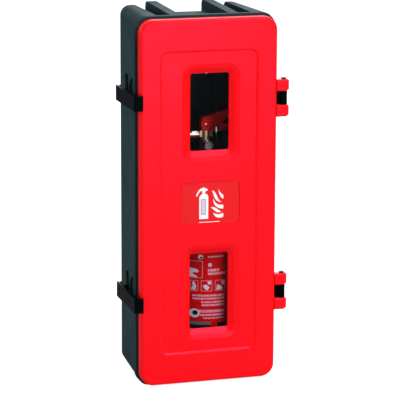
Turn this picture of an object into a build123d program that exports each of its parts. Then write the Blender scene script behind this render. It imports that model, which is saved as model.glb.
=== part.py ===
"""Wall cabinet for one fire extinguisher: a moulded tub with a hinged, windowed front door.

Millimetres. +Z is up, -Y is the front and +Y points into the wall. The origin is on the
back plane, in the middle of the four wall fixings.
"""
from build123d import *
from math import cos, radians, sin, sqrt, tan
import os

os.makedirs("parts", exist_ok=True)

# Door
DOOR_W = 310.0
DOOR_H = 816.0
DOOR_DEPTH = 24.0
DOOR_R = 30.0             # corners seen from the front
DOOR_EDGE_R = 6.0         # rounding of the front edge
DOOR_WALL = 4.0
DOOR_GAP = 5.0            # from the door's back edge to the rim, taken up by the seal
PANEL_SIDE = 43.0         # from the door's edge to the stepped field at the sides
PANEL_END = 68.0          # the same above and below
PANEL_R = 14.0
PANEL_STEP = 3.0
PANEL_SLOPE = 5.0         # width of the field's sloped border
FIELD_SHIFT = 4.5         # windows and sign sit this far towards the hinges

# Windows and their surrounds
WINDOW_W = 88.0
WINDOW_H = 171.0
WINDOW_R = 5.0
WINDOW_END = 206.5        # from the door's end to the middle of a window
SOFT_W = 10.0             # outer, gentle slope of the surround
SOFT_DEPTH = 3.0
STEEP_W = 12.0            # inner, steep slope down to the pane
STEEP_DEPTH = 9.0
PANE_T = 2.0
PANE_LAP = 7.0
FRAME_T = 3.0

# Sign
SIGN_W = 134.0
SIGN_H = 96.0
SIGN_R = 8.0
SIGN_DEPTH = 2.5
SIGN_PLATE_T = 0.8
SIGN_MARGIN = 1.5

# Rim and tub
RIM_MARGIN = 5.0          # how far the rim shows round the door
RIM_R = 34.0
RIM_T = 14.0
RIM_LIP = 7.0             # how far the rim stands out from the side walls
RIM_LEDGE = 3.0           # how far the rim reaches in past the side walls
WALL = 5.0
TUB_DRAFT = 14.0          # how much each side draws in towards the wall
TUB_BACK_R = 24.0         # upright edges at the back
TUB_END_R = 22.0          # edges round the top and the bottom
CHANNEL_DEPTH = 18.0      # depth of the channels between the ribs
CHANNEL_R = 14.0          # where a channel turns from the top to the back
OUTER_RIB_W = 32.0        # at the wall
SIDE_CHANNEL_W = 30.0
INNER_RIB_W = 22.0
INNER_RIB_R = 13.0        # where an inner rib turns from the top to the back
INNER_RIB_RISE = 6.0      # how far its top climbs above the rim towards the wall
SEAL_W = 6.0
SEAL_AIR = 0.3
FIXING_END = 163.0        # from the tub's end to a row of wall fixings
FIXING_R = 4.25

# Hinges
HINGE_END = 188.5         # from the door's end to the middle of a hinge, before the raise
HINGE_RAISE = 6.5         # both hinges sit this much above mirrored places
HINGE_REACH = 18.5        # from the door's edge to the pin
DOOR_KNUCKLE_H = 26.0
DOOR_KNUCKLE_EDGE = 3.5
LUG_H = 30.0
LUG_R = 8.0
KNUCKLE_GAP = 0.4
HINGE_PIN_R = 3.0
PIN_HEAD_R = 5.5
PIN_HEAD_H = 3.0
PIN_HEAD_EDGE = 1.0
RUNNING_FIT = 0.05

# Latches
LATCH_END = 183.0         # from the door's end to the middle of a latch, before the raise
LATCH_RAISE = 4.5         # both latches sit this much above mirrored places
LATCH_H = 33.0
LATCH_T = 6.0
LATCH_CORNER_R = 4.0
LATCH_PIVOT = 97.0        # from the wall to the pivot
LATCH_SIDE_AIR = 5.0      # between the rim and the arm
LATCH_GROOVE_W = 4.0      # upright groove in the arm's outer face
LATCH_GROOVE_T = 2.0
LATCH_GROOVE_AHEAD = 22.0
HOOK_LAP = 4.5            # how far the hook reaches over the door's face
HOOK_T = 6.0
HOOK_AIR = 0.7
HOOK_EDGE = 1.5
LATCH_KNUCKLE_R = 6.0
LATCH_PIN_R = 2.0
ANCHOR_H = 15.0
FORK_AIR = 0.5
FORK_REACH_AIR = 1.5
EAR_W = 13.0
EAR_H = 48.0              # from the middle of the latch to the top of the ear
EAR_T = 3.0
EAR_HOLE_R = 3.5
DISH_R = 36.0             # finger recess in the side wall, above the arm
DISH_RISE = 4.0
DISH_AHEAD = 60.0         # from the pivot to the middle of the recess
DISH_DROP = 14.0
DISH_DEPTH = 6.0

# Extinguisher
BOTTLE_R = 80.0
BOTTLE_H = 454.0          # from the floor to the neck
BOTTLE_BACK_GAP = 20.0
BOTTLE_FRONT_GAP = 16.0
BOTTLE_SIDE_GAP = 23.5
SHOULDER_R = 24.0
SHOULDER_TURN = 60.0      # degrees that the shoulder turns before it runs straight to the neck
BOTTLE_BASE_EDGE = 8.0
NECK_R = 19.0
NECK_H = 13.0
FOOT_H = 26.0
FOOT_T = 2.5
LABEL_T = 0.4
LABEL_AIR = 0.3
LABEL_LOW = 112.0
LABEL_H = 272.0
LABEL_BACK = 30.0         # how far behind the axis the label wraps
NUT_R = 18.0
NUT_H = 13.0
VALVE_R = 13.0
VALVE_H = 50.0
VALVE_BLOCK_W = 30.0
VALVE_BLOCK_D = 18.0
VALVE_BLOCK_H = 14.0
BOSS_R = 7.0
BOSS_L = 19.0
GAUGE_R = 11.0
GAUGE_T = 10.0
GAUGE_BEZEL = 1.5
GAUGE_RISE = 19.0         # over the nut
OUTLET_RISE = 41.0        # over the nut
OUTLET_NUT_R = 9.0
OUTLET_NUT_L = 13.0
OUTLET_R = 6.5
OUTLET_L = 12.0
GRIP_W = 24.0
GRIP_T = 2.0
GRIP_AIR = 0.3
GRIP_BACK = 9.5           # from the valve's axis to the back end of the grip
GRIP_L = 94.0
GRIP_H = 9.0
CHEEK_H = 23.0
CHEEK_END = 24.0          # from the valve's axis to the end of the grip's high sides
CHEEK_SLOPE = 30.0        # length over which they fall to the bar
LEVER_CROTCH = 27.0       # from the valve's axis to where lever and grip part
LEVER_BEND = 54.0         # from the valve's axis to the bend in the lever's lower edge
LEVER_RISE = 44.0         # over the grip's underside, at the free end
LEVER_H = 10.0
LEVER_PIN_R = 2.5
LEVER_PIN_UP = 15.0
SAFETY_PIN_R = 1.6
SAFETY_PIN_AHEAD = 20.0   # from the valve's axis, along the grip
RING_R = 16.0
RING_T = 2.0
RING_AIR = 1.5            # between the ring and the grip
RING_DROP = 12.0          # from the pin down to the ring's middle
RING_TURN = 17.0          # the ring hangs turned by this many degrees

# Derived planes and places
RIM_W = DOOR_W + 2 * RIM_MARGIN
BODY_H = DOOR_H + 2 * RIM_MARGIN
BODY_DEPTH = CHANNEL_DEPTH + WALL + BOTTLE_BACK_GAP + 2 * BOTTLE_R + BOTTLE_FRONT_GAP
DOOR_BACK = BODY_DEPTH + DOOR_GAP
DOOR_FRONT = DOOR_BACK + DOOR_DEPTH
TUB_FRONT_HALF = RIM_W / 2 - RIM_LIP
TUB_BACK_HALF = TUB_FRONT_HALF - TUB_DRAFT
SIDE_CHANNEL_X = TUB_BACK_HALF - OUTER_RIB_W - SIDE_CHANNEL_W / 2
RIB_X = SIDE_CHANNEL_X - SIDE_CHANNEL_W / 2 - INNER_RIB_W / 2
MIDDLE_CHANNEL_W = 2 * (RIB_X - INNER_RIB_W / 2)
FLOOR_Z = -BODY_H / 2 + CHANNEL_DEPTH + WALL
PANEL_FACE = DOOR_FRONT - PANEL_STEP
WINDOW_Z = DOOR_H / 2 - WINDOW_END
PANE_FACE = PANEL_FACE - SOFT_DEPTH - STEEP_DEPTH
HINGE_X = DOOR_W / 2 + HINGE_REACH
HINGE_Y = -(DOOR_BACK + DOOR_DEPTH / 2)
SIDES = {"upper": 1, "lower": -1}
HINGE_Z = {name: side * (DOOR_H / 2 - HINGE_END) + HINGE_RAISE for name, side in SIDES.items()}
LATCH_Z = {name: side * (DOOR_H / 2 - LATCH_END) + LATCH_RAISE for name, side in SIDES.items()}
ARM_INSIDE = -(RIM_W / 2 + LATCH_SIDE_AIR)
ARM_OUTSIDE = ARM_INSIDE - LATCH_T
LATCH_X = ARM_OUTSIDE + LATCH_KNUCKLE_R
BOTTLE_X = TUB_BACK_HALF - WALL - BOTTLE_SIDE_GAP - FOOT_T - BOTTLE_R
BOTTLE_Y = -(CHANNEL_DEPTH + WALL + BOTTLE_BACK_GAP + BOTTLE_R)


def finish(part, name):
    """Names a finished piece and writes it."""
    part.label = name
    export_step(part, f"parts/{name}.step")


def facing_front(distance):
    """The plane parallel to the wall at this distance from it, seen from the front."""
    return Plane.XZ.offset(distance)


def side_half(distance):
    """Half the tub's width at this distance from the wall."""
    return TUB_BACK_HALF + TUB_DRAFT * distance / BODY_DEPTH


def tub_form(inset):
    """The ribbed form of the tub, drawn in by the inset on every face but the mouth."""
    with BuildPart() as form:
        with BuildSketch(Plane.XY.offset(-BODY_H / 2 + inset)):
            with BuildLine():
                front = TUB_FRONT_HALF - inset
                back = TUB_BACK_HALF - inset
                Polyline(
                    (-front, -BODY_DEPTH),
                    (front, -BODY_DEPTH),
                    (back, -inset),
                    (-back, -inset),
                    close=True,
                )
            corners = make_face().vertices().group_by(Axis.Y)[-1]
            fillet(corners, TUB_BACK_R - inset)
        extrude(amount=BODY_H - 2 * inset)
        ends = form.faces().filter_by(Axis.Z)
        mouth = form.faces().sort_by(Axis.Y)[0].edges()
        fillet([e for e in ends.edges() if e not in mouth], TUB_END_R - inset)
        drop = CHANNEL_DEPTH + inset
        channels = {0: MIDDLE_CHANNEL_W, -SIDE_CHANNEL_X: SIDE_CHANNEL_W, SIDE_CHANNEL_X: SIDE_CHANNEL_W}
        for centre, width in channels.items():
            reach = width / 2 + inset
            with BuildSketch(Plane.YZ.offset(centre - reach)):
                Rectangle(3 * BODY_DEPTH, 2 * BODY_H)
                with Locations((-BODY_DEPTH - drop, 0)):
                    core_h = BODY_H - 2 * drop
                    RectangleRounded(2 * BODY_DEPTH, core_h, CHANNEL_R - inset, mode=Mode.SUBTRACT)
            extrude(amount=2 * reach, mode=Mode.SUBTRACT)
        for centre in (-RIB_X, RIB_X):
            reach = INNER_RIB_W / 2 - inset
            with BuildSketch(Plane.YZ.offset(centre - reach)):
                with BuildLine():
                    end = BODY_H / 2 - inset
                    Polyline(
                        (-BODY_DEPTH, -end),
                        (-BODY_DEPTH, end),
                        (-inset, end + INNER_RIB_RISE),
                        (-inset, -end),
                        close=True,
                    )
                corners = make_face().vertices().group_by(Axis.X)[-1]
                fillet(corners, INNER_RIB_R - inset)
            extrude(amount=2 * reach)
        dish_y = -(LATCH_PIVOT + DISH_AHEAD)
        dish_x = -side_half(-dish_y) + DISH_DEPTH + inset
        for middle in LATCH_Z.values():
            with BuildSketch(Plane.YZ.offset(dish_x)):
                with Locations((dish_y, middle + DISH_RISE)):
                    Circle(DISH_R + inset)
                with Locations((dish_y, middle - DISH_DROP - inset - DISH_R)):
                    Rectangle(4 * DISH_R, 2 * DISH_R, mode=Mode.SUBTRACT)
            extrude(amount=-TUB_DRAFT - DISH_DEPTH - 2 * inset, mode=Mode.SUBTRACT)
    return form.part


outer_tub = tub_form(0)

with BuildPart() as body_shell:
    add(outer_tub)
    add(tub_form(WALL), mode=Mode.SUBTRACT)
    with BuildSketch(facing_front(BODY_DEPTH - RIM_T)):
        RectangleRounded(RIM_W, BODY_H, RIM_R)
        opening_w = 2 * (TUB_FRONT_HALF - WALL - RIM_LEDGE)
        opening_h = BODY_H - 2 * (CHANNEL_DEPTH + WALL)
        RectangleRounded(opening_w, opening_h, TUB_END_R, mode=Mode.SUBTRACT)
    extrude(amount=RIM_T)
    with Locations(facing_front(0)):
        with GridLocations(2 * RIB_X, BODY_H - 2 * FIXING_END, 2, 2):
            Hole(FIXING_R, depth=2 * WALL)
finish(body_shell.part, "body_shell")

with BuildPart() as door_seal:
    with BuildSketch(facing_front(BODY_DEPTH)):
        RectangleRounded(DOOR_W, DOOR_H, DOOR_R)
        RectangleRounded(DOOR_W - 2 * SEAL_W, DOOR_H - 2 * SEAL_W, DOOR_R - SEAL_W, mode=Mode.SUBTRACT)
    extrude(amount=DOOR_GAP - SEAL_AIR)
finish(door_seal.part, "door_seal")


def door_knuckle_bottoms():
    """Lower ends of the door's four knuckles."""
    half = LUG_H / 2 + KNUCKLE_GAP
    for middle in HINGE_Z.values():
        yield middle + half
        yield middle - half - DOOR_KNUCKLE_H


def surround(depth, grow):
    """One outline of the window surround, at this depth behind the field's face."""
    with BuildSketch(facing_front(PANEL_FACE - depth)) as outline:
        RectangleRounded(WINDOW_W + 2 * grow, WINDOW_H + 2 * grow, WINDOW_R + grow)
    return outline.sketch


with BuildPart() as window_funnel:
    loft([surround(0, SOFT_W + STEEP_W), surround(SOFT_DEPTH, STEEP_W)])
    loft([surround(SOFT_DEPTH, STEEP_W), surround(SOFT_DEPTH + STEEP_DEPTH, 0)])

with BuildPart() as door_panel:
    with BuildSketch(facing_front(DOOR_BACK)):
        RectangleRounded(DOOR_W, DOOR_H, DOOR_R)
    extrude(amount=DOOR_DEPTH)
    fillet(door_panel.faces().sort_by(Axis.Y)[0].edges(), DOOR_EDGE_R)
    for depth, grow in ((PANEL_STEP, 0), (0, PANEL_SLOPE)):
        with BuildSketch(facing_front(DOOR_FRONT - depth)):
            panel_w = DOOR_W - 2 * PANEL_SIDE - 2 * PANEL_SLOPE + 2 * grow
            panel_h = DOOR_H - 2 * PANEL_END - 2 * PANEL_SLOPE + 2 * grow
            RectangleRounded(panel_w, panel_h, PANEL_R + grow)
    loft(mode=Mode.SUBTRACT)
    with BuildSketch(facing_front(DOOR_BACK)):
        RectangleRounded(DOOR_W - 2 * DOOR_WALL, DOOR_H - 2 * DOOR_WALL, DOOR_R - DOOR_WALL)
    extrude(amount=DOOR_DEPTH - DOOR_WALL - PANEL_STEP, mode=Mode.SUBTRACT)
    with BuildSketch(facing_front(PANE_FACE)):
        for side in SIDES.values():
            with Locations((FIELD_SHIFT, side * WINDOW_Z)):
                grow = SOFT_W + STEEP_W + DOOR_WALL
                RectangleRounded(WINDOW_W + 2 * grow, WINDOW_H + 2 * grow, WINDOW_R + grow)
    extrude(amount=PANEL_FACE - PANE_FACE)
    for side in SIDES.values():
        place = Location((FIELD_SHIFT, 0, side * WINDOW_Z))
        add(window_funnel.part.moved(place), mode=Mode.SUBTRACT)
    with BuildSketch(facing_front(PANEL_FACE - SIGN_DEPTH - DOOR_WALL)):
        with Locations((FIELD_SHIFT, 0)):
            RectangleRounded(SIGN_W + 2 * DOOR_WALL, SIGN_H + 2 * DOOR_WALL, SIGN_R + DOOR_WALL)
    extrude(amount=SIGN_DEPTH + DOOR_WALL)
    with BuildSketch(facing_front(PANEL_FACE - SIGN_DEPTH)):
        with Locations((FIELD_SHIFT, 0)):
            RectangleRounded(SIGN_W, SIGN_H, SIGN_R)
    extrude(amount=SIGN_DEPTH, mode=Mode.SUBTRACT)
    for bottom in door_knuckle_bottoms():
        with BuildPart(mode=Mode.PRIVATE) as knuckle:
            with BuildSketch(Plane.XY.offset(bottom)):
                with Locations((HINGE_X, HINGE_Y)):
                    Circle(DOOR_DEPTH / 2)
                with Locations((HINGE_X - HINGE_REACH / 2, HINGE_Y)):
                    Rectangle(HINGE_REACH, DOOR_DEPTH)
            extrude(amount=DOOR_KNUCKLE_H)
            chamfer(knuckle.faces().filter_by(Axis.Z).edges().filter_by(GeomType.CIRCLE), DOOR_KNUCKLE_EDGE)
            with BuildSketch(Plane.XY.offset(bottom)):
                with Locations((HINGE_X, HINGE_Y)):
                    Circle(HINGE_PIN_R + RUNNING_FIT)
            extrude(amount=DOOR_KNUCKLE_H, mode=Mode.SUBTRACT)
        add(knuckle.part)
finish(door_panel.part, "door_panel")

with BuildPart() as sign_plate:
    with BuildSketch(facing_front(PANEL_FACE - SIGN_DEPTH)):
        with Locations((FIELD_SHIFT, 0)):
            RectangleRounded(SIGN_W - 2 * SIGN_MARGIN, SIGN_H - 2 * SIGN_MARGIN, SIGN_R - SIGN_MARGIN)
    extrude(amount=SIGN_PLATE_T)
finish(sign_plate.part, "sign_plate")

for name, side in SIDES.items():
    pane_w = WINDOW_W + 2 * PANE_LAP
    pane_h = WINDOW_H + 2 * PANE_LAP
    with BuildPart() as pane:
        with BuildSketch(facing_front(PANE_FACE - PANE_T)):
            with Locations((FIELD_SHIFT, side * WINDOW_Z)):
                Rectangle(pane_w, pane_h)
        extrude(amount=PANE_T)
    finish(pane.part, f"{name}_window_pane")
    with BuildPart() as frame:
        with BuildSketch(facing_front(PANE_FACE - PANE_T - FRAME_T)):
            with Locations((FIELD_SHIFT, side * WINDOW_Z)):
                Rectangle(pane_w, pane_h)
                RectangleRounded(WINDOW_W, WINDOW_H, WINDOW_R, mode=Mode.SUBTRACT)
        extrude(amount=FRAME_T)
    finish(frame.part, f"{name}_window_frame")

for name, middle in HINGE_Z.items():
    with BuildPart() as lug:
        with BuildSketch(Plane.XY.offset(middle - LUG_H / 2)):
            with Locations((HINGE_X, HINGE_Y)):
                Circle(LUG_R)
            with BuildLine():
                Polyline(
                    (RIM_W / 2, HINGE_Y),
                    (HINGE_X + LUG_R, HINGE_Y),
                    (HINGE_X + LUG_R, -BODY_DEPTH),
                    (RIM_W / 2, -BODY_DEPTH + RIM_T),
                    close=True,
                )
            make_face()
            with Locations((HINGE_X, HINGE_Y)):
                Circle(HINGE_PIN_R, mode=Mode.SUBTRACT)
        extrude(amount=LUG_H)
    finish(lug.part, f"{name}_hinge_lug")
    stack = LUG_H + 2 * (DOOR_KNUCKLE_H + KNUCKLE_GAP)
    with BuildPart() as pin:
        with BuildSketch(Plane.XY.offset(middle - stack / 2)):
            with Locations((HINGE_X, HINGE_Y)):
                Circle(HINGE_PIN_R)
        extrude(amount=stack + KNUCKLE_GAP)
        with BuildSketch(Plane.XY.offset(middle + stack / 2 + KNUCKLE_GAP)):
            with Locations((HINGE_X, HINGE_Y)):
                Circle(PIN_HEAD_R)
        extrude(amount=PIN_HEAD_H)
        chamfer(pin.edges().sort_by(Axis.Z)[-1:], PIN_HEAD_EDGE)
    finish(pin.part, f"{name}_hinge_pin")


def latch_arm(middle):
    """The arm with its hook over the door and its fork at the pivot."""
    hook_back = -(DOOR_FRONT + HOOK_AIR)
    hook_tip = -DOOR_W / 2 + HOOK_LAP
    with BuildPart() as arm:
        with BuildSketch(Plane.XY.offset(middle - LATCH_H / 2)):
            with BuildLine():
                Polyline(
                    (ARM_OUTSIDE, -LATCH_PIVOT),
                    (ARM_OUTSIDE, hook_back - HOOK_T),
                    (hook_tip, hook_back - HOOK_T),
                    (hook_tip, hook_back),
                    (ARM_INSIDE, hook_back),
                    (ARM_INSIDE, -LATCH_PIVOT),
                    close=True,
                )
            make_face()
            with Locations((LATCH_X, -LATCH_PIVOT)):
                Circle(LATCH_KNUCKLE_R)
            with Locations((LATCH_X, -LATCH_PIVOT)):
                Circle(LATCH_PIN_R + RUNNING_FIT, mode=Mode.SUBTRACT)
        extrude(amount=LATCH_H)
        front_edges = arm.edges().filter_by(Axis.Z).group_by(Axis.Y)[0].sort_by(Axis.X)
        fillet(front_edges[0], LATCH_CORNER_R)
        tip = arm.faces().sort_by(Axis.Y)[0]
        chamfer(tip.edges().sort_by(Axis.X)[-1], HOOK_EDGE)
        slot_h = ANCHOR_H + 2 * FORK_AIR
        with BuildSketch(Plane.XY.offset(middle - slot_h / 2)):
            with Locations((LATCH_X, -LATCH_PIVOT)):
                Circle(LATCH_KNUCKLE_R + FORK_REACH_AIR)
        extrude(amount=slot_h, mode=Mode.SUBTRACT)
        with BuildSketch(Plane.XY.offset(middle - LATCH_H / 2)):
            with Locations((ARM_OUTSIDE, -LATCH_PIVOT - LATCH_GROOVE_AHEAD)):
                Rectangle(2 * LATCH_GROOVE_T, LATCH_GROOVE_W)
        extrude(amount=LATCH_H, mode=Mode.SUBTRACT)
    return arm.part


def latch_anchor(middle):
    """The block on the side wall that carries the pivot, with its eye above."""
    ear_x = -side_half(LATCH_PIVOT) - EAR_T
    reach = -side_half(LATCH_PIVOT) - LATCH_X + EAR_T
    with BuildPart() as anchor:
        with BuildSketch(Plane.XY.offset(middle - ANCHOR_H / 2)):
            with Locations((LATCH_X, -LATCH_PIVOT)):
                Circle(LATCH_KNUCKLE_R)
            with Locations((LATCH_X + reach / 2, -LATCH_PIVOT)):
                Rectangle(reach, 2 * LATCH_KNUCKLE_R)
            with Locations((LATCH_X, -LATCH_PIVOT)):
                Circle(LATCH_PIN_R, mode=Mode.SUBTRACT)
        extrude(amount=ANCHOR_H)
        with BuildSketch(Plane.YZ.offset(ear_x)):
            with Locations((-LATCH_PIVOT, middle + (EAR_H - EAR_W) / 2)):
                SlotOverall(EAR_H, EAR_W, rotation=90)
            with Locations((-LATCH_PIVOT, middle + EAR_H - EAR_W)):
                Circle(EAR_HOLE_R, mode=Mode.SUBTRACT)
        extrude(amount=LATCH_X + reach - ear_x)
        add(outer_tub, mode=Mode.SUBTRACT)
    return anchor.part


for name, middle in LATCH_Z.items():
    finish(latch_arm(middle), f"{name}_latch_arm")
    finish(latch_anchor(middle), f"{name}_latch_anchor")
    with BuildPart() as latch_pin:
        with BuildSketch(Plane.XY.offset(middle - LATCH_H / 2)):
            with Locations((LATCH_X, -LATCH_PIVOT)):
                Circle(LATCH_PIN_R)
        extrude(amount=LATCH_H)
    finish(latch_pin.part, f"{name}_latch_pin")

# The extinguisher's heights are over the cabinet's floor, on its own axis
NECK_TOP = BOTTLE_H + NECK_H
NUT_TOP = NECK_TOP + NUT_H
VALVE_TOP = NUT_TOP + VALVE_H
bottle_axis = Axis((BOTTLE_X, BOTTLE_Y, 0), (0, 0, 1))


def level(height):
    """A level plane centred on the extinguisher's axis."""
    return Plane((BOTTLE_X, BOTTLE_Y, FLOOR_Z + height))


def upright(ahead, height=0):
    """An upright plane seen from the front, at this distance in front of the axis."""
    return Plane((BOTTLE_X, BOTTLE_Y - ahead, FLOOR_Z + height), x_dir=(1, 0, 0), z_dir=(0, -1, 0))


with BuildPart() as bottle:
    with BuildSketch(upright(0)):
        with BuildLine():
            turn = radians(SHOULDER_TURN)
            arc_x = BOTTLE_R - SHOULDER_R
            slope_h = (arc_x + SHOULDER_R * cos(turn) - NECK_R) / tan(turn)
            arc_z = BOTTLE_H - slope_h - SHOULDER_R * sin(turn)
            low_side = (BOTTLE_R, FOOT_T + BOTTLE_BASE_EDGE)
            Polyline((0, FOOT_T), (BOTTLE_R - BOTTLE_BASE_EDGE, FOOT_T), low_side, (BOTTLE_R, arc_z))
            shoulder = CenterArc((arc_x, arc_z), SHOULDER_R, 0, SHOULDER_TURN)
            Polyline(shoulder @ 1, (NECK_R, BOTTLE_H), (NECK_R, NECK_TOP), (0, NECK_TOP), (0, FOOT_T))
        make_face()
    revolve(axis=bottle_axis)
finish(bottle.part, "extinguisher_bottle")

with BuildPart() as foot:
    with BuildSketch(level(0)):
        Circle(BOTTLE_R + FOOT_T)
    extrude(amount=FOOT_H)
    with BuildSketch(level(FOOT_T)):
        Circle(BOTTLE_R)
    extrude(amount=FOOT_H, mode=Mode.SUBTRACT)
finish(foot.part, "extinguisher_foot")

with BuildPart() as label:
    with BuildSketch(level(LABEL_LOW)):
        Circle(BOTTLE_R + LABEL_AIR + LABEL_T)
        Circle(BOTTLE_R + LABEL_AIR, mode=Mode.SUBTRACT)
        with Locations((0, LABEL_BACK + BOTTLE_R)):
            Rectangle(3 * BOTTLE_R, 2 * BOTTLE_R, mode=Mode.SUBTRACT)
    extrude(amount=LABEL_H)
finish(label.part, "extinguisher_label")

with BuildPart() as valve:
    with BuildSketch(level(NECK_TOP)):
        RegularPolygon(NUT_R, 6)
    extrude(amount=NUT_H)
    with BuildSketch(level(NUT_TOP)):
        Circle(VALVE_R)
    extrude(amount=VALVE_H)
    with BuildSketch(level(VALVE_TOP - VALVE_BLOCK_H)):
        Rectangle(VALVE_BLOCK_W, VALVE_BLOCK_D)
    extrude(amount=VALVE_BLOCK_H)
    with BuildSketch(upright(0, NUT_TOP + GAUGE_RISE)):
        Circle(BOSS_R)
    extrude(amount=BOSS_L)
    with BuildSketch(Plane.YZ.offset(BOTTLE_X - BOSS_L)):
        with Locations((BOTTLE_Y, FLOOR_Z + NUT_TOP + OUTLET_RISE)):
            Circle(BOSS_R)
    extrude(amount=BOSS_L)
finish(valve.part, "extinguisher_valve")

with BuildPart() as gauge:
    with BuildSketch(upright(BOSS_L, NUT_TOP + GAUGE_RISE)):
        Circle(GAUGE_R)
    extrude(amount=GAUGE_T)
    with BuildSketch(upright(BOSS_L + GAUGE_T - GAUGE_BEZEL, NUT_TOP + GAUGE_RISE)):
        Circle(GAUGE_R - GAUGE_BEZEL)
    extrude(amount=GAUGE_BEZEL, mode=Mode.SUBTRACT)
finish(gauge.part, "pressure_gauge")

with BuildPart() as outlet:
    centre = (BOTTLE_Y, FLOOR_Z + NUT_TOP + OUTLET_RISE)
    with BuildSketch(Plane.YZ.offset(BOTTLE_X - BOSS_L - OUTLET_NUT_L)):
        with Locations(centre):
            RegularPolygon(OUTLET_NUT_R, 6)
    extrude(amount=OUTLET_NUT_L)
    with BuildSketch(Plane.YZ.offset(BOTTLE_X - BOSS_L - OUTLET_NUT_L - OUTLET_L)):
        with Locations(centre):
            Circle(OUTLET_R)
    extrude(amount=OUTLET_L)
finish(outlet.part, "hose_outlet")


def pressed_bar(outline, width, web):
    """A pressed steel channel: a side outline as wide as the bar, hollowed out by the web's outline."""
    with BuildPart() as bar:
        with BuildSketch(upright(-width / 2)):
            with BuildLine():
                Polyline(*outline, close=True)
            make_face()
        extrude(amount=width)
        with BuildSketch(upright(-width / 2 + GRIP_T)):
            with BuildLine():
                Polyline(*web, close=True)
            make_face()
        extrude(amount=width - 2 * GRIP_T, mode=Mode.SUBTRACT)
        for pin_x, pin_z, pin_r in ((lever_pin_x, lever_pin_z, LEVER_PIN_R), (lock_x, lock_z, SAFETY_PIN_R)):
            with BuildSketch(upright(-width)):
                with Locations((pin_x, pin_z)):
                    Circle(pin_r)
            extrude(amount=2 * width, mode=Mode.SUBTRACT)
    return bar.part


grip_z = VALVE_TOP
lever_pin_x = -GRIP_BACK + 3 * LEVER_PIN_R
lever_pin_z = grip_z + LEVER_PIN_UP
lock_x = SAFETY_PIN_AHEAD
lock_z = lever_pin_z
grip_end = GRIP_L - GRIP_BACK
grip_outline = (
    (-GRIP_BACK, grip_z),
    (grip_end, grip_z),
    (grip_end, grip_z + GRIP_H),
    (CHEEK_END + CHEEK_SLOPE, grip_z + GRIP_H),
    (CHEEK_END, grip_z + CHEEK_H),
    (-GRIP_BACK, grip_z + CHEEK_H),
)
grip_web = (
    (-2 * GRIP_BACK, grip_z + GRIP_T),
    (2 * grip_end, grip_z + GRIP_T),
    (2 * grip_end, grip_z + 2 * CHEEK_H),
    (-2 * GRIP_BACK, grip_z + 2 * CHEEK_H),
)
finish(pressed_bar(grip_outline, GRIP_W, grip_web), "carry_handle")

lever_low = grip_z + GRIP_T + GRIP_AIR
lever_top = grip_z + LEVER_RISE
lever_back = -GRIP_BACK - GRIP_T
knee = lever_pin_z + LEVER_PIN_R + GRIP_T
crown = knee + LEVER_H
lever_outline = (
    (lever_back, lever_low + LEVER_H / 2),
    (LEVER_CROTCH, lever_low + LEVER_H / 2),
    (LEVER_BEND, lever_top - LEVER_H),
    (grip_end, lever_top),
    (grip_end, lever_top + LEVER_H),
    (lever_back + LEVER_H / 2, crown),
    (lever_back, knee),
)
lever_web = (
    (2 * lever_back, lever_low - LEVER_H),
    (2 * grip_end, lever_low - LEVER_H),
    (grip_end, lever_top + LEVER_H - GRIP_T),
    (lever_back + LEVER_H / 2, crown - GRIP_T),
    (2 * lever_back, lever_low - LEVER_H),
)
lever_w = GRIP_W - 2 * GRIP_T - 2 * GRIP_AIR
finish(pressed_bar(lever_outline, lever_w, lever_web), "squeeze_lever")

with BuildPart() as lever_pin:
    with BuildSketch(upright(-GRIP_W / 2)):
        with Locations((lever_pin_x, lever_pin_z)):
            Circle(LEVER_PIN_R)
    extrude(amount=GRIP_W)
finish(lever_pin.part, "lever_pin")

with BuildPart() as safety_pin:
    ring_reach = sqrt(RING_R ** 2 - RING_DROP ** 2)
    pin_out = GRIP_W / 2 + RING_AIR + RING_R + RING_T / 2 - ring_reach
    with BuildSketch(upright(-GRIP_W / 2 - RING_T)):
        with Locations((lock_x, lock_z)):
            Circle(SAFETY_PIN_R)
    extrude(amount=GRIP_W / 2 + RING_T + pin_out)
    ahead, aside = cos(radians(RING_TURN)), sin(radians(RING_TURN))
    pin_end = (BOTTLE_X + lock_x, BOTTLE_Y - pin_out, FLOOR_Z + lock_z)
    with BuildSketch(Plane(pin_end, x_dir=(-aside, -ahead, 0), z_dir=(-ahead, aside, 0))):
        with Locations((ring_reach, -RING_DROP)):
            Circle(RING_R + RING_T / 2)
            Circle(RING_R - RING_T / 2, mode=Mode.SUBTRACT)
    extrude(amount=RING_T / 2, both=True)
finish(safety_pin.part, "safety_pin")
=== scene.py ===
"""Looks of the fire extinguisher cabinet: moulded plastics, clear panes, sign, printed label,
extinguisher finishes, studio light and the camera. Metres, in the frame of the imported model."""
import math
import random

import bpy
from mathutils import Euler, Matrix, Vector


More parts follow.
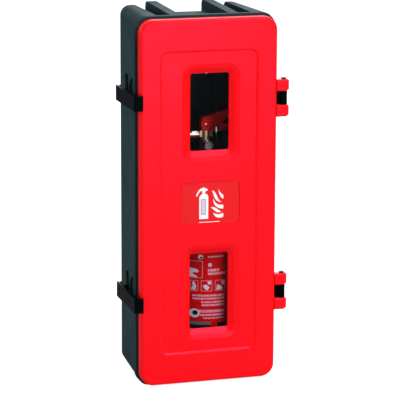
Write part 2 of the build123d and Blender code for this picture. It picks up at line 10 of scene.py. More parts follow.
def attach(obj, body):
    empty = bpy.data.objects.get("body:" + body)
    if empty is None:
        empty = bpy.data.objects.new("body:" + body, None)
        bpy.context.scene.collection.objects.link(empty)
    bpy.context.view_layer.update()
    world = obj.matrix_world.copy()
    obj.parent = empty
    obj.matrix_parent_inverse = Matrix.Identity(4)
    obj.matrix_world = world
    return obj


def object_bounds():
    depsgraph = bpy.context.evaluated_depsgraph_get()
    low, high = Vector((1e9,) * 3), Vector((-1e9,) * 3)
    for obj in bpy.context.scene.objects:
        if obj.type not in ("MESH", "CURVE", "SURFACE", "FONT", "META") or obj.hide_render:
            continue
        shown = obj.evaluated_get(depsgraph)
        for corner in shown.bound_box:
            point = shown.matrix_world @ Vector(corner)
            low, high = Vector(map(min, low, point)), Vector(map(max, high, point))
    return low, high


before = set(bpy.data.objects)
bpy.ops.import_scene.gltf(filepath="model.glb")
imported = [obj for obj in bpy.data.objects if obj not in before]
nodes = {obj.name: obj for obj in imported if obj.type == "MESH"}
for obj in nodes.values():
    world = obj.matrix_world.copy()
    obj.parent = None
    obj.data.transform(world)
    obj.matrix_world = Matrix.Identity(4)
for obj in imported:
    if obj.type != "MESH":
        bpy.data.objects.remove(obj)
cad_low, cad_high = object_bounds()
MM = 0.001


def new_group(name, inputs, outputs):
    """An empty shader group with its named sockets, and its input and output nodes."""
    group = bpy.data.node_groups.new(name, "ShaderNodeTree")
    for label, kind, value in inputs:
        socket = group.interface.new_socket(name=label, in_out="INPUT", socket_type=kind)
        socket.default_value = value
    for label, kind in outputs:
        group.interface.new_socket(name=label, in_out="OUTPUT", socket_type=kind)
    return group, group.nodes.new("NodeGroupInput"), group.nodes.new("NodeGroupOutput")


NOISE_LOW, NOISE_HIGH = 0.3, 0.7      # between these nearly all of a noise lies
SLOW_SCALE = 6.0                      # marks per metre of a moulding's slow change of shade
FLOW_SCALE = 14.0                     # and of the soft unevenness of its face


def noise(tree, vector, scale, detail, roughness=0.55):
    """A noise texture on the given coordinates."""
    node = tree.nodes.new("ShaderNodeTexNoise")
    node.inputs["Detail"].default_value = detail
    node.inputs["Roughness"].default_value = roughness
    if isinstance(scale, (int, float)):
        node.inputs["Scale"].default_value = scale
    else:
        tree.links.new(scale, node.inputs["Scale"])
    tree.links.new(vector, node.inputs["Vector"])
    return node.outputs["Fac"]


def spread(tree, value, low, high):
    """Stretches a noise between two numbers or sockets."""
    node = tree.nodes.new("ShaderNodeMapRange")
    node.inputs["From Min"].default_value = NOISE_LOW
    node.inputs["From Max"].default_value = NOISE_HIGH
    tree.links.new(value, node.inputs["Value"])
    for label, bound in (("To Min", low), ("To Max", high)):
        if isinstance(bound, (int, float)):
            node.inputs[label].default_value = bound
        else:
            tree.links.new(bound, node.inputs[label])
    return node.outputs["Result"]


def scale_color(tree, color, factor):
    """Multiplies a colour by a grey factor."""
    node = tree.nodes.new("ShaderNodeVectorMath")
    node.operation = "SCALE"
    tree.links.new(color, node.inputs[0])
    tree.links.new(factor, node.inputs["Scale"])
    return node.outputs["Vector"]


def bump(tree, height, distance, normal=None):
    """A bump of this depth in metres."""
    node = tree.nodes.new("ShaderNodeBump")
    node.inputs["Strength"].default_value = 1.0
    tree.links.new(height, node.inputs["Height"])
    if isinstance(distance, (int, float)):
        node.inputs["Distance"].default_value = distance
    else:
        tree.links.new(distance, node.inputs["Distance"])
    if normal is not None:
        tree.links.new(normal, node.inputs["Normal"])
    return node.outputs["Normal"]


def moulded_group():
    """Skin of a moulded plastic: slow shading of its colour, a soft flow unevenness and a fine grain."""
    group, start, end = new_group(
        "moulded_skin",
        [
            ("Vector", "NodeSocketVector", (0, 0, 0)),
            ("Color", "NodeSocketColor", (0.5, 0.5, 0.5, 1)),
            ("Shade Low", "NodeSocketFloat", 0.92),
            ("Shade High", "NodeSocketFloat", 1.0),
            ("Gloss Low", "NodeSocketFloat", 0.3),
            ("Gloss High", "NodeSocketFloat", 0.4),
            ("Grain Scale", "NodeSocketFloat", 900.0),
            ("Grain Depth", "NodeSocketFloat", 0.00003),
            ("Flow Depth", "NodeSocketFloat", 0.0004),
        ],
        [("Color", "NodeSocketColor"), ("Roughness", "NodeSocketFloat"), ("Normal", "NodeSocketVector")],
    )
    given = start.outputs
    slow = noise(group, given["Vector"], SLOW_SCALE, 2.0)
    flow = noise(group, given["Vector"], FLOW_SCALE, 1.0)
    fine = noise(group, given["Vector"], given["Grain Scale"], 3.0)
    shade = spread(group, slow, given["Shade Low"], given["Shade High"])
    gloss = spread(group, flow, given["Gloss Low"], given["Gloss High"])
    swell = bump(group, flow, given["Flow Depth"])
    skin = bump(group, fine, given["Grain Depth"], swell)
    group.links.new(scale_color(group, given["Color"], shade), end.inputs["Color"])
    group.links.new(gloss, end.inputs["Roughness"])
    group.links.new(skin, end.inputs["Normal"])
    return group


def metal_group():
    """Skin of a worked metal: tone and gloss that vary along fine marks, and their relief."""
    group, start, end = new_group(
        "worked_metal",
        [
            ("Vector", "NodeSocketVector", (0, 0, 0)),
            ("Color", "NodeSocketColor", (0.5, 0.5, 0.5, 1)),
            ("Tone Low", "NodeSocketFloat", 0.8),
            ("Gloss Low", "NodeSocketFloat", 0.15),
            ("Gloss High", "NodeSocketFloat", 0.35),
            ("Mark Scale", "NodeSocketFloat", 300.0),
            ("Mark Depth", "NodeSocketFloat", 0.00004),
        ],
        [("Color", "NodeSocketColor"), ("Roughness", "NodeSocketFloat"), ("Normal", "NodeSocketVector")],
    )
    given = start.outputs
    marks = noise(group, given["Vector"], given["Mark Scale"], 4.0, 0.65)
    tone = spread(group, marks, given["Tone Low"], 1.0)
    gloss = spread(group, marks, given["Gloss Low"], given["Gloss High"])
    group.links.new(scale_color(group, given["Color"], tone), end.inputs["Color"])
    group.links.new(gloss, end.inputs["Roughness"])
    group.links.new(bump(group, marks, given["Mark Depth"]), end.inputs["Normal"])
    return group


MOULDED_SKIN = moulded_group()
WORKED_METAL = metal_group()


def new_material(name):
    """A node material, with its shader and its object coordinates."""
    material = bpy.data.materials.new(name)
    material.use_nodes = True
    tree = material.node_tree
    shader = tree.nodes["Principled BSDF"]
    place = tree.nodes.new("ShaderNodeTexCoord").outputs["Object"]
    return material, tree, shader, place


def stretched(tree, place, scale):
    """The coordinates scaled by axis, so that a pattern runs along one of them."""
    node = tree.nodes.new("ShaderNodeMapping")
    node.inputs["Scale"].default_value = scale
    tree.links.new(place, node.inputs["Vector"])
    return node.outputs["Vector"]


def use_group(tree, shader, group, vector, settings):
    """Places a skin group in a material and feeds the shader from it."""
    node = tree.nodes.new("ShaderNodeGroup")
    node.node_tree = group
    tree.links.new(vector, node.inputs["Vector"])
    for label, value in settings.items():
        node.inputs[label].default_value = value
    for output, socket in (("Color", "Base Color"), ("Roughness", "Roughness"), ("Normal", "Normal")):
        tree.links.new(node.outputs[output], shader.inputs[socket])


COAT_ROUGHNESS = 0.12
PANE_TONE = (0.03, 0.035, 0.037, 1)
PANE_COVER = 0.04                     # share of what lies behind that a pane hides
PANE_REFLECTION = 0.2
PANE_WAVES = 9.0                      # slow waves per metre of pane, and their depth
PANE_WAVE_DEPTH = 0.2 * MM


def moulded(name, color, specular=0.5, coat=0.0, tint=(1.0, 1.0, 1.0), **settings):
    """A moulded plastic."""
    material, tree, shader, place = new_material(name)
    labels = {key.replace("_", " ").title(): value for key, value in settings.items()}
    use_group(tree, shader, MOULDED_SKIN, place, {"Color": (*color, 1), **labels})
    shader.inputs["Specular IOR Level"].default_value = specular
    shader.inputs["Specular Tint"].default_value = (*tint, 1)
    shader.inputs["Coat Weight"].default_value = coat
    shader.inputs["Coat Roughness"].default_value = COAT_ROUGHNESS
    return material


def metal(name, color, along=(1, 1, 1), **settings):
    """A bare or plated metal."""
    material, tree, shader, place = new_material(name)
    labels = {key.replace("_", " ").title(): value for key, value in settings.items()}
    use_group(tree, shader, WORKED_METAL, stretched(tree, place, along), {"Color": (*color, 1), **labels})
    shader.inputs["Metallic"].default_value = 1.0
    return material


def clear_pane(name):
    """Clear acrylic that shows what stands behind it."""
    material, tree, shader, place = new_material(name)
    shader.inputs["Base Color"].default_value = PANE_TONE
    shader.inputs["Roughness"].default_value = 0.05
    shader.inputs["Specular IOR Level"].default_value = PANE_REFLECTION
    shader.inputs["Alpha"].default_value = PANE_COVER
    waves = noise(tree, place, PANE_WAVES, 1.0)
    tree.links.new(bump(tree, waves, PANE_WAVE_DEPTH), shader.inputs["Normal"])
    return material


door_red = moulded(
    "door_red_gloss", (0.965, 0.004, 0.004), specular=0.2, tint=(1.0, 0.36, 0.95),
    shade_low=0.97, shade_high=1.0, gloss_low=0.3, gloss_high=0.36,
    grain_scale=1400.0, grain_depth=0.00001, flow_depth=0.0006,
)
tub_slate = moulded(
    "tub_slate_satin", (0.018, 0.044, 0.054), specular=0.03,
    shade_low=0.8, shade_high=1.1, gloss_low=0.55, gloss_high=0.65,
    grain_scale=1100.0, grain_depth=0.00003, flow_depth=0.0006,
)
fitting_black = moulded(
    "fitting_black_moulded", (0.001, 0.003, 0.0035), specular=0.01,
    shade_low=0.8, shade_high=1.1, gloss_low=0.3, gloss_high=0.42,
    grain_scale=1600.0, grain_depth=0.00002, flow_depth=0.0001,
)
seal_black = moulded(
    "seal_foam_black", (0.004, 0.006, 0.007), specular=0.1,
    shade_low=0.7, shade_high=1.1, gloss_low=0.7, gloss_high=0.85,
    grain_scale=2600.0, grain_depth=0.00012, flow_depth=0.0001,
)
sign_red = moulded(
    "sign_print_red", (0.8, 0.008, 0.012), specular=0.14,
    shade_low=0.97, shade_high=1.0, gloss_low=0.24, gloss_high=0.3,
    grain_scale=900.0, grain_depth=0.000005, flow_depth=0.0001,
)
SIGN_SKIN = {
    "specular": 0.14, "shade_high": 1.0, "gloss_low": 0.26, "gloss_high": 0.32,
    "grain_scale": 900.0, "grain_depth": 0.000005, "flow_depth": 0.0,
}
sign_white = moulded("sign_print_white", (0.92, 0.91, 0.92), shade_low=0.97, **SIGN_SKIN)
sign_lilac = moulded("sign_print_lilac", (0.7, 0.55, 0.78), shade_low=0.97, **SIGN_SKIN)
sign_ink = moulded("sign_print_ink", (0.06, 0.012, 0.05), shade_low=0.9, **SIGN_SKIN)
enamel_red = moulded(
    "enamel_red_gloss", (0.66, 0.001, 0.003), specular=0.08, coat=0.02,
    shade_low=0.95, shade_high=1.0, gloss_low=0.24, gloss_high=0.32,
    grain_scale=500.0, grain_depth=0.00002, flow_depth=0.0002,
)
lever_red = moulded(
    "lever_red_gloss", (0.98, 0.002, 0.005), specular=0.12, coat=0.02,
    shade_low=0.95, shade_high=1.0, gloss_low=0.24, gloss_high=0.32,
    grain_scale=500.0, grain_depth=0.00002, flow_depth=0.0002,
)
film_red = moulded(
    "label_film_red", (0.62, 0.001, 0.003), specular=0.03,
    shade_low=0.94, shade_high=1.0, gloss_low=0.34, gloss_high=0.42,
    grain_scale=700.0, grain_depth=0.000005, flow_depth=0.0002,
)
LABEL_SKIN = {
    "specular": 0.1, "shade_high": 1.0, "gloss_low": 0.34, "gloss_high": 0.42,
    "grain_scale": 700.0, "grain_depth": 0.000005, "flow_depth": 0.0,
}
print_rows = moulded("label_print_rose", (0.8, 0.36, 0.5), shade_low=0.85, **LABEL_SKIN)
print_pale = moulded("label_print_pale", (0.72, 0.64, 0.86), shade_low=0.85, **LABEL_SKIN)
dark_spots_and_bands = moulded("label_print_dark", (0.006, 0.008, 0.014), shade_low=0.8, **LABEL_SKIN)
band_teal = moulded("label_print_teal", (0.08, 0.17, 0.19), shade_low=0.8, **LABEL_SKIN)
dial_face = moulded(
    "dial_face_pale", (0.92, 0.8, 0.98), specular=0.3,
    shade_low=0.9, shade_high=1.0, gloss_low=0.2, gloss_high=0.3,
    grain_scale=900.0, grain_depth=0.000003, flow_depth=0.0,
)
DIAL_SKIN = {
    "shade_high": 1.0, "gloss_low": 0.3, "gloss_high": 0.4,
    "grain_scale": 900.0, "grain_depth": 0.000003, "flow_depth": 0.0,
}
dial_ink = moulded("dial_ink_black", (0.01, 0.01, 0.014), specular=0.3, shade_low=0.8, **DIAL_SKIN)
dial_red = moulded("dial_sector_red", (0.6, 0.02, 0.03), specular=0.2, shade_low=0.9, **DIAL_SKIN)
dial_green = moulded("dial_sector_green", (0.04, 0.42, 0.12), specular=0.2, shade_low=0.9, **DIAL_SKIN)
pin_black = moulded(
    "pin_coated_black", (0.004, 0.004, 0.005), specular=0.2,
    shade_low=0.8, shade_high=1.0, gloss_low=0.3, gloss_high=0.4,
    grain_scale=1800.0, grain_depth=0.00002, flow_depth=0.0,
)
steel_plated = metal(
    "steel_zinc_plated", (0.7, 0.71, 0.73), along=(1, 1, 6),
    tone_low=0.82, gloss_low=0.18, gloss_high=0.34, mark_scale=500.0, mark_depth=0.00002,
)
outlet_plated = metal(
    "outlet_nickel_plated", (0.6, 0.56, 0.52), along=(6, 1, 1),
    tone_low=0.7, gloss_low=0.26, gloss_high=0.4, mark_scale=500.0, mark_depth=0.00003,
)
brass_cast = metal(
    "brass_cast_dull", (0.78, 0.52, 0.34),
    tone_low=0.6, gloss_low=0.24, gloss_high=0.44, mark_scale=420.0, mark_depth=0.0001,
)
chrome_bright = metal(
    "chrome_bright", (0.82, 0.82, 0.86),
    tone_low=0.92, gloss_low=0.06, gloss_high=0.14, mark_scale=300.0, mark_depth=0.00001,
)
pane_clear = clear_pane("pane_clear_acrylic")

FINISHES = {
    "body_shell": tub_slate,
    "door_seal": seal_black,
    "door_panel": door_red,
    "sign_plate": sign_red,
    "upper_window_pane": pane_clear,
    "lower_window_pane": pane_clear,
    "upper_window_frame": fitting_black,
    "lower_window_frame": fitting_black,
    "upper_hinge_lug": fitting_black,
    "lower_hinge_lug": fitting_black,
    "upper_hinge_pin": pin_black,
    "lower_hinge_pin": pin_black,
    "upper_latch_arm": fitting_black,
    "lower_latch_arm": fitting_black,
    "upper_latch_anchor": fitting_black,
    "lower_latch_anchor": fitting_black,
    "upper_latch_pin": steel_plated,
    "lower_latch_pin": steel_plated,
    "extinguisher_bottle": enamel_red,
    "extinguisher_foot": fitting_black,
    "extinguisher_label": film_red,
    "extinguisher_valve": brass_cast,
    "pressure_gauge": chrome_bright,
    "hose_outlet": outlet_plated,
    "carry_handle": lever_red,
    "squeeze_lever": lever_red,
    "lever_pin": steel_plated,
    "safety_pin": steel_plated,
}
for name, material in FINISHES.items():
    slots = nodes[name].data.materials
    slots.clear()
    slots.append(material)


def begin():
    """Nothing stays selected before a new piece is begun."""
    bpy.ops.object.select_all(action="DESELECT")


def keep_as(name, material, body):
    """Names a finished piece, gives it its finish and lets it ride on its body."""
    piece = bpy.context.object
    piece.name = name
    bpy.ops.object.transform_apply(location=True, rotation=True, scale=True)
    piece.data.materials.clear()
    piece.data.materials.append(material)
    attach(piece, body)


CURVE_STEPS = 10                      # steps between two points of a figure's outline


def corner(x, z):
    """A sharp point of an outline."""
    return (x, z), (x, z), (x, z)


def add_outline(curve, knots):
    """One closed outline of points with their handles before and after, in millimetres."""
    spline = curve.splines.new("BEZIER")
    spline.bezier_points.add(len(knots) - 1)
    spline.use_cyclic_u = True
    for point, (place, before, after) in zip(spline.bezier_points, knots):
        point.handle_left_type = point.handle_right_type = "FREE"
        point.co = (place[0] * MM, place[1] * MM, 0)
        point.handle_left = (before[0] * MM, before[1] * MM, 0)
        point.handle_right = (after[0] * MM, after[1] * MM, 0)


def flat_figure(outlines, thickness, place):
    """A thin upright figure, cut from closed outlines, that faces the front."""
    begin()
    bpy.ops.curve.primitive_bezier_circle_add(radius=1, location=(0, 0, 0))
    figure = bpy.context.object
    curve = figure.data
    curve.dimensions = "2D"
    curve.fill_mode = "BOTH"
    curve.resolution_u = CURVE_STEPS
    curve.extrude = thickness * MM / 2
    curve.splines.clear()
    for knots in outlines:
        add_outline(curve, knots)
    bpy.ops.object.convert(target="MESH")
    figure = bpy.context.object
    figure.rotation_euler = (math.pi / 2, 0, 0)
    figure.location = [value * MM for value in place]
    return figure


def box_outline(left, right, low, high):
    """Four sharp corners."""
    return [corner(left, low), corner(right, low), corner(right, high), corner(left, high)]


# Sign: a plain extinguisher and five tongues of flame, in millimetres from the middle of the plate
SIGN_PLACE = (4.5, -243.37, 0.0)
PRINT_T = 0.16
FIGURE_BODY = [
    corner(-25.5, -35.6), corner(-5.0, -35.6),
    ((-5.0, 12.5), (-5.0, 6.0), (-5.0, 17.0)),
    ((-12.4, 21.0), (-7.5, 20.6), (-12.4, 21.0)),
    corner(-12.4, 25.8), corner(-6.6, 28.4), corner(-6.6, 31.4),
    ((-14.6, 35.0), (-10.5, 33.0), (-18.0, 35.0)),
    ((-27.4, 28.6), (-23.6, 33.4), (-30.2, 25.0)),
    corner(-33.4, 17.2), corner(-30.6, 15.8),
    ((-22.6, 27.6), (-27.6, 23.0), (-20.6, 29.4)),
    corner(-18.6, 26.2), corner(-18.6, 21.0),
    ((-25.5, 12.5), (-25.5, 17.0), (-25.5, 6.0)),
]
FLAMES = [
    [((19.0, 31.0), (18.2, 21.0), (20.4, 23.0)), ((29.6, 16.0), (25.0, 18.4), (29.6, 16.0)),
     ((29.6, 7.6), (29.6, 7.6), (22.6, 10.4))],
    [((4.0, 27.4), (8.0, 17.4), (14.4, 26.4)), ((26.0, 0.0), (14.6, 5.6), (7.4, 2.0))],
    [((7.0, 9.6), (5.6, -6.4), (9.4, -2.4)), ((29.6, -6.0), (19.0, -7.0), (29.6, -6.0)),
     ((29.6, -14.6), (29.6, -14.6), (16.6, -14.6))],
    [((0.8, -10.6), (8.8, -14.0), (12.6, -7.4)), ((25.4, -21.6), (17.0, -18.0), (10.6, -25.6))],
    [((6.8, -22.4), (8.6, -33.0), (12.4, -27.6)), ((29.6, -24.4), (20.0, -28.2), (29.6, -24.4)),
     ((29.6, -33.4), (29.6, -33.4), (18.8, -37.0))],
]
FIGURE_LABEL = (-21.6, -10.6, -25.6, 9.0)
FIGURE_LINE = 0.9
UNDERLINE = (-25.6, 22.0, -43.6, -42.2)


def make_sign_print():
    """The white figures of the sign, with the panel on the extinguisher and its thin frame."""
    x, y, z = SIGN_PLACE
    flat_figure([FIGURE_BODY, *FLAMES, box_outline(*UNDERLINE)], PRINT_T, SIGN_PLACE)
    keep_as("sign_figures", sign_white, "door")
    left, right, low, high = FIGURE_LABEL
    line = FIGURE_LINE
    flat_figure([box_outline(left, right, low, high)], PRINT_T, (x, y - PRINT_T / 2, z))
    keep_as("sign_figure_frame", sign_ink, "door")
    inside = box_outline(left + line, right - line, low + line, high - line)
    flat_figure([inside], PRINT_T, (x, y - PRINT_T, z))
    keep_as("sign_figure_panel", sign_lilac, "door")


# Pressure gauge: dial, coloured sectors and needle, set out from the middle of the dial's back
GAUGE_PLACE = Vector((28.0, -150.5, 109.0)) * MM
DIAL_R = 9.4 * MM
DIAL_T = 0.5 * MM
DIAL_RIM = 0.5 * MM
DIAL_DISH = 0.2 * MM
DIAL_EYE = 1.1 * MM                   # radius of the flat middle
SECTOR_R = 7.9 * MM
SECTOR_INSIDE = 0.72
SECTOR_T = 0.14 * MM
SECTORS = {
    "gauge_sector_empty": (-120, -42, dial_red),
    "gauge_sector_full": (-38, 38, dial_green),
    "gauge_sector_over": (42, 120, dial_red),
}
NEEDLE_L = 7.4 * MM
NEEDLE_W = 1.1 * MM
NEEDLE_T = 0.3 * MM
NEEDLE_TAIL = 1.6 * MM                # its length behind the hub's middle
NEEDLE_UP = 0.45 * MM                 # over the dial
NEEDLE_TIP = 0.25                     # width of its tip, as a share of its own
HUB_R = 1.3 * MM
HUB_T = 0.8 * MM
HUB_EDGE = 0.2 * MM
FACING = 0.9                          # a normal that passes this along an axis faces that way


def make_dial():
    """The pale face of the gauge, turned with a low rim and a shallow dish."""
    begin()
    place = GAUGE_PLACE - Vector((0, DIAL_T / 2, 0))
    bpy.ops.mesh.primitive_cylinder_add(
        vertices=64, radius=DIAL_R, depth=DIAL_T, location=place, rotation=(math.pi / 2, 0, 0))
    bpy.ops.object.transform_apply(location=True, rotation=True, scale=True)
    dial = bpy.context.object
    bpy.ops.object.mode_set(mode="EDIT")
    bpy.ops.mesh.select_all(action="DESELECT")
    bpy.ops.mesh.select_mode(type="FACE")
    bpy.ops.object.mode_set(mode="OBJECT")
    for face in dial.data.polygons:
        face.select = face.normal.y < -FACING
    bpy.ops.object.mode_set(mode="EDIT")
    bpy.ops.mesh.inset(thickness=DIAL_RIM, depth=-DIAL_DISH)
    bpy.ops.mesh.inset(thickness=DIAL_R - DIAL_RIM - DIAL_EYE, depth=0)
    bpy.ops.object.mode_set(mode="OBJECT")
    keep_as("gauge_dial", dial_face, "cabinet")


def make_sector(name, start, end, material):
    """A coloured arc on the dial; its angles run clockwise from the top, in degrees."""
    begin()
    place = GAUGE_PLACE - Vector((0, DIAL_T + SECTOR_T / 2, 0))
    bpy.ops.mesh.primitive_circle_add(
        vertices=90, radius=SECTOR_R, fill_type="NOTHING", location=place, rotation=(math.pi / 2, 0, 0))
    bpy.ops.object.transform_apply(location=True, rotation=True, scale=True)
    arc = bpy.context.object
    bpy.ops.object.mode_set(mode="EDIT")
    bpy.ops.mesh.select_mode(type="VERT")
    bpy.ops.mesh.select_all(action="SELECT")
    bpy.ops.mesh.extrude_region_move()
    bpy.ops.transform.resize(value=(SECTOR_INSIDE, 1, SECTOR_INSIDE), center_override=place)
    bpy.ops.mesh.select_all(action="DESELECT")
    bpy.ops.mesh.select_mode(type="FACE")
    bpy.ops.object.mode_set(mode="OBJECT")
    for face in arc.data.polygons:
        out = face.center - place
        angle = math.degrees(math.atan2(out.x, out.z))
        face.select = not start < angle < end
    bpy.ops.object.mode_set(mode="EDIT")
    bpy.ops.mesh.delete(type="FACE")
    bpy.ops.mesh.select_all(action="SELECT")
    bpy.ops.mesh.normals_make_consistent(inside=False)
    bpy.ops.object.mode_set(mode="OBJECT")
    thicken = arc.modifiers.new("sector_thickness", "SOLIDIFY")
    thicken.thickness = SECTOR_T
    thicken.offset = 0
    bpy.ops.object.modifier_apply(modifier=thicken.name)
    keep_as(name, material, "cabinet")


def make_needle():
    """A tapered needle that points to the middle of the full sector, over a small round hub."""
    begin()
    front = GAUGE_PLACE - Vector((0, DIAL_T + NEEDLE_UP, 0))
    bpy.ops.mesh.primitive_cube_add(size=1, location=front + Vector((0, 0, NEEDLE_L / 2 - NEEDLE_TAIL)))
    needle = bpy.context.object
    needle.scale = (NEEDLE_W, NEEDLE_T, NEEDLE_L)
    bpy.ops.object.transform_apply(location=True, rotation=True, scale=True)
    bpy.ops.object.mode_set(mode="EDIT")
    bpy.ops.mesh.select_mode(type="FACE")
    bpy.ops.mesh.select_all(action="DESELECT")
    bpy.ops.object.mode_set(mode="OBJECT")
    for face in needle.data.polygons:
        face.select = face.normal.z > FACING
    bpy.ops.object.mode_set(mode="EDIT")
    bpy.ops.transform.resize(value=(NEEDLE_TIP, 1, 1), center_override=front)
    bpy.ops.object.mode_set(mode="OBJECT")
    keep_as("gauge_needle", dial_ink, "cabinet")
    begin()
    bpy.ops.mesh.primitive_cylinder_add(
        vertices=32, radius=HUB_R, depth=HUB_T, location=front, rotation=(math.pi / 2, 0, 0))
    hub = bpy.context.object
    bpy.ops.object.transform_apply(location=True, rotation=True, scale=True)
    soften = hub.modifiers.new("hub_edge", "BEVEL")
    soften.width = HUB_EDGE
    soften.segments = 2
    bpy.ops.object.modifier_apply(modifier=soften.name)
    keep_as("gauge_hub", dial_ink, "cabinet")


# Printed label of the bottle, in millimetres: x from the bottle's axis, z in the cabinet's frame
BOTTLE_AXIS = (28.0, -123.0)
LABEL_SURFACE = 80.85
BOTTLE_SURFACE = 80.15
FILM_T = 0.1
SECOND_LAYER = 0.1                    # prints that lie on others are this much further out
THIRD_LAYER = 0.25
AHEAD = -300.0                        # flat pieces start here, in front of the bottle
WORD_STEP = 3.0                       # a printed strip bends at least this often on its way round
WORD_LENGTHS = (2.4, 8.0)
WORD_GAPS = (1.0, 1.6)
LAST_WORD = 2.0                       # a row ends when less than this is left
SHAPE_CUTS = 3                        # cuts in each edge of a printed shape, so that it bends with the bottle
ROWS = [
    # left, right, low, high
    (-16.0, 22.0, -135.0, -131.4),
    (-16.0, 10.0, -167.0, -161.0),
    (-16.0, 25.0, -174.8, -169.4),
    (-48.0, 23.0, -224.6, -220.4),
    (-48.0, 23.0, -231.6, -227.4),
    (-30.0, 23.0, -239.8, -235.6),
    (-29.0, 23.0, -246.8, -242.6),
    (-35.0, 23.0, -262.0, -255.6),
    (-32.0, 23.0, -269.6, -265.2),
    (-26.0, 23.0, -276.4, -273.2),
    (-40.0, 44.0, -112.0, -105.0),
    (-34.0, 38.0, -98.0, -93.0),
    (-34.0, 38.0, -88.0, -83.0),
    (-30.0, 30.0, -60.0, -50.0),
    (-24.0, 24.0, -42.0, -36.0),
]
SQUARES = [(-52.4, -36.6, -212.0, -187.6), (-30.6, -6.6, -212.0, -187.6), (0.4, 25.2, -212.0, -187.6)]
LARGE_SQUARE = (-62.0, -27.4, -181.8, -142.6)
SQUARE_LINE = 0.9
DISCS = [(-31.6, -133.4, 5.3), (-11.4, -151.8, 4.2), (-43.8, -263.4, 10.4)]
DISC_SPOTS = [(-30.4, -135.0, 2.6), (-11.4, -151.8, 1.4), (-42.6, -262.4, 5.6)]
# Below the label, plain colour bands laid on the bottle: a grey-teal band and two black bands.
GREY_BAND = (-60.0, -9.0, -290.4, -284.0)
BLACK_BANDS = [(-60.0, -9.0, -299.0, -290.8), (6.0, 27.0, -296.0, -286.0)]
PALE_SHAPES = [
    [(-60.0, -179.6), (-38.0, -180.0), (-40.6, -176.2), (-47.0, -173.2), (-46.4, -168.4), (-38.0, -169.6),
     (-35.4, -165.4), (-41.0, -161.0), (-50.0, -159.0), (-60.0, -161.0)],
    [(-51.0, -208.6), (-42.0, -210.0), (-40.4, -200.0), (-44.4, -190.0), (-48.4, -191.6), (-47.0, -200.0)],
    [(-27.0, -199.6), (-19.6, -196.4), (-12.0, -203.6), (-18.0, -210.6), (-23.6, -205.6)],
    [(-16.6, -189.4), (-9.0, -189.4), (-9.0, -196.0), (-14.4, -197.4)],
    [(3.4, -209.6), (17.0, -210.4), (19.4, -205.6), (12.0, -200.0), (5.4, -197.6)],
    [(15.0, -190.4), (23.6, -189.4), (23.6, -199.0), (17.4, -199.6)],
]


def strip(left, right, low, high):
    """A flat strip in front of the bottle, with enough columns to bend round it."""
    begin()
    columns = max(1, math.ceil((right - left) / WORD_STEP))
    bpy.ops.mesh.primitive_grid_add(
        x_subdivisions=columns, y_subdivisions=1, size=1, rotation=(math.pi / 2, 0, 0),
        location=((BOTTLE_AXIS[0] + (left + right) / 2) * MM, AHEAD * MM, (low + high) / 2 * MM))
    bpy.context.object.scale = ((right - left) * MM, (high - low) * MM, 1)
    bpy.ops.object.transform_apply(location=True, rotation=True, scale=True)
    return bpy.context.object


def disc(x, z, radius):
    """A flat disc in front of the bottle."""
    begin()
    bpy.ops.mesh.primitive_circle_add(
        vertices=40, radius=radius * MM, fill_type="TRIFAN", rotation=(math.pi / 2, 0, 0),
        location=((BOTTLE_AXIS[0] + x) * MM, AHEAD * MM, z * MM))
    bpy.ops.object.transform_apply(location=True, rotation=True, scale=True)
    return bpy.context.object


def shape(points):
    """A flat many-sided shape in front of the bottle."""
    figure = flat_figure([[corner(x, z) for x, z in points]], 0, (BOTTLE_AXIS[0], AHEAD, 0))
    bpy.ops.object.transform_apply(location=True, rotation=True, scale=True)
    bpy.ops.object.mode_set(mode="EDIT")
    bpy.ops.mesh.select_mode(type="VERT")
    bpy.ops.mesh.select_all(action="SELECT")
    bpy.ops.mesh.subdivide(number_cuts=SHAPE_CUTS)
    bpy.ops.object.mode_set(mode="OBJECT")
    return figure


def frame_strips(left, right, low, high):
    """Four strips that frame a square."""
    line = SQUARE_LINE
    return [
        strip(left, right, low, low + line),
        strip(left, right, high - line, high),
        strip(left, left + line, low + line, high - line),
        strip(right - line, right, low + line, high - line),
    ]


def word_strips(left, right, low, high, chance):
    """A row of print, as plain bars of uneven length."""
    bars = []
    x = left
    while x < right - LAST_WORD:
        length = min(chance.uniform(*WORD_LENGTHS), right - x)
        bars.append(strip(x, x + length, low, high))
        x += length + chance.uniform(*WORD_GAPS)
    return bars


def wrap(pieces, radius, name, material):
    """Joins flat pieces, lays them round the bottle and gives them the thickness of a film."""
    begin()
    for piece in pieces:
        piece.select_set(True)
    bpy.context.view_layer.objects.active = pieces[0]
    if len(pieces) > 1:
        bpy.ops.object.join()
    film = bpy.context.object
    film.select_set(False)
    bpy.ops.mesh.primitive_cylinder_add(
        vertices=240, radius=radius * MM, depth=1, location=(BOTTLE_AXIS[0] * MM, BOTTLE_AXIS[1] * MM, 0))
    form = bpy.context.object
    begin()
    film.select_set(True)
    bpy.context.view_layer.objects.active = film
    lay = film.modifiers.new("lay_round_bottle", "SHRINKWRAP")
    lay.target = form
    lay.wrap_method = "PROJECT"
    lay.use_project_y = True
    lay.use_positive_direction = True
    lay.use_negative_direction = False
    bpy.ops.object.modifier_apply(modifier=lay.name)
    thicken = film.modifiers.new("film_thickness", "SOLIDIFY")
    thicken.thickness = FILM_T * MM
    thicken.offset = -1
    bpy.ops.object.modifier_apply(modifier=thicken.name)
    bpy.data.objects.remove(form)
    keep_as(name, material, "cabinet")


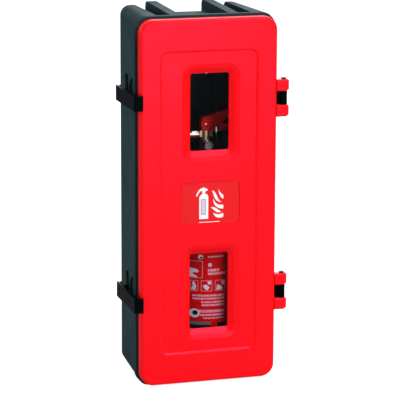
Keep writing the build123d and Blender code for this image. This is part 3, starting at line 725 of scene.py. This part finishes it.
def make_label_print():
    """Rows of bars, framed squares with plain shapes, discs, and the bands under the label."""
    chance = random.Random(11)
    bars = []
    for row in ROWS:
        bars += word_strips(*row, chance)
    wrap(bars, LABEL_SURFACE, "label_rows", print_rows)
    frames = []
    for square in [LARGE_SQUARE, *SQUARES]:
        frames += frame_strips(*square)
    wrap(frames, LABEL_SURFACE, "label_frames", print_rows)
    second, third = LABEL_SURFACE + SECOND_LAYER, LABEL_SURFACE + THIRD_LAYER
    wrap([shape(points) for points in PALE_SHAPES], second, "label_shapes", print_pale)
    wrap([disc(*spot) for spot in DISCS], second, "label_discs", print_pale)
    wrap([disc(*spot) for spot in DISC_SPOTS], third, "label_disc_spots", dark_spots_and_bands)
    wrap([strip(*GREY_BAND)], BOTTLE_SURFACE, "bottle_band_grey", band_teal)
    wrap([strip(*band) for band in BLACK_BANDS], BOTTLE_SURFACE, "bottle_band_black", dark_spots_and_bands)


make_sign_print()
make_dial()
for name, (start, end, tone) in SECTORS.items():
    make_sector(name, start, end, tone)
make_needle()
make_label_print()


# Studio: floor, world and lamps
FLOOR_SIZE = 60
FLOOR_GAP = 0.5 * MM                  # the floor lies this much under the cabinet
FLOOR_GREY = 0.55
FLOOR_LIFT = 0.9                      # lifts the floor to white for the camera alone
WORLD_LIGHT = 0.3
SOFTBOXES = [
    # name, place, target, size, watts
    ("key_softbox", (1.4, -2.5, 2.5), (0, -0.1, 0.1), (2.2, 2.2), 94.0),
    ("sheen_softbox", (0.5, -3.2, 0.25), (-0.05, -0.25, 0.25), (0.9, 0.9), 20.0),
    ("side_softbox", (-3.0, -0.6, 0.6), (0, -0.1, 0), (1.4, 2.2), 26.0),
    ("back_softbox", (1.2, 3.0, 1.6), (0, 0, 0), (1.8, 1.8), 34.0),
    ("top_softbox", (0.3, -0.6, 2.8), (0, -0.1, 0), (1.6, 1.6), 18.0),
]


def pale_floor():
    """A wide pale floor under the cabinet that reads as white and keeps the shadow."""
    begin()
    bpy.ops.mesh.primitive_plane_add(size=FLOOR_SIZE, location=(0, 0, cad_low.z - FLOOR_GAP))
    floor = bpy.context.object
    floor.name = "studio_floor"
    bpy.ops.object.transform_apply(location=True, rotation=True, scale=True)
    material, tree, shader, _ = new_material("floor_white")
    shader.inputs["Base Color"].default_value = (FLOOR_GREY, FLOOR_GREY, FLOOR_GREY, 1)
    shader.inputs["Roughness"].default_value = 0.8
    shader.inputs["Specular IOR Level"].default_value = 0.1
    shader.inputs["Emission Color"].default_value = (1, 1, 1, 1)
    path = tree.nodes.new("ShaderNodeLightPath")
    lift = tree.nodes.new("ShaderNodeMath")
    lift.operation = "MULTIPLY"
    lift.inputs[1].default_value = FLOOR_LIFT
    tree.links.new(path.outputs["Is Camera Ray"], lift.inputs[0])
    tree.links.new(lift.outputs["Value"], shader.inputs["Emission Strength"])
    floor.data.materials.append(material)


def soft_world():
    """White to the camera and in reflections, a soft even grey as light."""
    world = bpy.data.worlds.new("studio_world")
    world.use_nodes = True
    tree = world.node_tree
    background = tree.nodes["Background"]
    path = tree.nodes.new("ShaderNodeLightPath")
    seen = tree.nodes.new("ShaderNodeMath")
    seen.operation = "MAXIMUM"
    tree.links.new(path.outputs["Is Camera Ray"], seen.inputs[0])
    through = tree.nodes.new("ShaderNodeMath")
    through.operation = "MAXIMUM"
    tree.links.new(path.outputs["Is Transmission Ray"], through.inputs[0])
    tree.links.new(path.outputs["Is Glossy Ray"], through.inputs[1])
    tree.links.new(through.outputs["Value"], seen.inputs[1])
    level = tree.nodes.new("ShaderNodeMapRange")
    level.inputs["To Min"].default_value = WORLD_LIGHT
    level.inputs["To Max"].default_value = 1.0
    tree.links.new(seen.outputs["Value"], level.inputs["Value"])
    tree.links.new(level.outputs["Result"], background.inputs["Strength"])
    background.inputs["Color"].default_value = (1, 1, 1, 1)
    bpy.context.scene.world = world


def softbox(name, place, target, size, power):
    """A rectangular area light that looks at a point."""
    light = bpy.data.lights.new(name, "AREA")
    light.shape = "RECTANGLE"
    light.size, light.size_y = size
    light.energy = power
    lamp = bpy.data.objects.new(name, light)
    bpy.context.scene.collection.objects.link(lamp)
    lamp.location = place
    lamp.rotation_euler = (Vector(target) - Vector(place)).to_track_quat("-Z", "Y").to_euler()


pale_floor()
soft_world()
for softbox_values in SOFTBOXES:
    softbox(*softbox_values)


# Camera, fitted to the edges of the photograph
LENS = 191.65
YAW = math.radians(16.71)
PITCH = math.radians(12.64)
ROLL = math.radians(0.22)
DISTANCE = 4.673
AIM = Vector((0, -0.248, 0))
ASIDE = -0.0199                       # the camera stands this much beside and above the line to its aim
RAISED = 0.00734


def photo_camera():
    """The camera at the photograph's viewing angle."""
    turn = Euler((math.pi / 2 - PITCH, 0, -YAW)).to_matrix()
    camera = bpy.data.cameras.new("photo_camera")
    camera.sensor_width = 36.0
    camera.lens = LENS
    camera.clip_start = 0.05
    camera.clip_end = 200
    holder = bpy.data.objects.new("photo_camera", camera)
    bpy.context.scene.collection.objects.link(holder)
    holder.location = AIM + turn @ Vector((ASIDE, RAISED, DISTANCE))
    holder.rotation_euler = (turn @ Matrix.Rotation(ROLL, 3, "Z")).to_euler()
    bpy.context.scene.camera = holder


photo_camera()
bpy.context.scene.view_settings.view_transform = "Standard"
